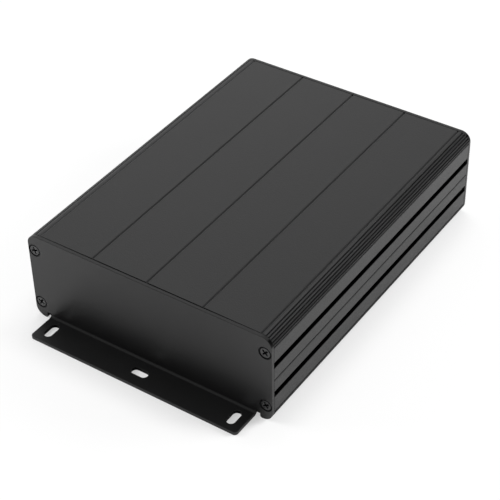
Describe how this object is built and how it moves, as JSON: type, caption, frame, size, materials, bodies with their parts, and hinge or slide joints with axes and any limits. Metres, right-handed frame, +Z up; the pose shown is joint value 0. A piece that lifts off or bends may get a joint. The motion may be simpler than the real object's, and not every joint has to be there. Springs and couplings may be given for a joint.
{
  "type": "aluminium instrument case",
  "caption": "Black anodised aluminium instrument case: two extruded half shells with board rails, closed by folded end panels with slotted mounting ears",
  "frame": {"origin": "middle of the case's base, on the plane that the lower shell and both ears stand on", "axes": "+X across the case to the right of someone facing the front panel, +Y along the case from the front panel to the rear panel, +Z up"},
  "size_m": [0.152, 0.2392, 0.055],
  "materials": {
    "shell_anodising": "black anodised extrusion, satin, fine die lines along its length",
    "panel_anodising": "black anodised sheet, fine bead-blasted satin",
    "screw_finish": "black zinc-plated steel, slightly glossy"
  },
  "bodies": {
    "root": {"upper_shell": "shell_anodising", "lower_shell": "shell_anodising", "front_panel": "panel_anodising", "rear_panel": "panel_anodising", "front_screw_upper_left": "screw_finish", "front_screw_upper_right": "screw_finish", "front_screw_lower_left": "screw_finish", "front_screw_lower_right": "screw_finish", "rear_screw_upper_left": "screw_finish", "rear_screw_upper_right": "screw_finish", "rear_screw_lower_left": "screw_finish", "rear_screw_lower_right": "screw_finish"}
  },
  "joints": []
}
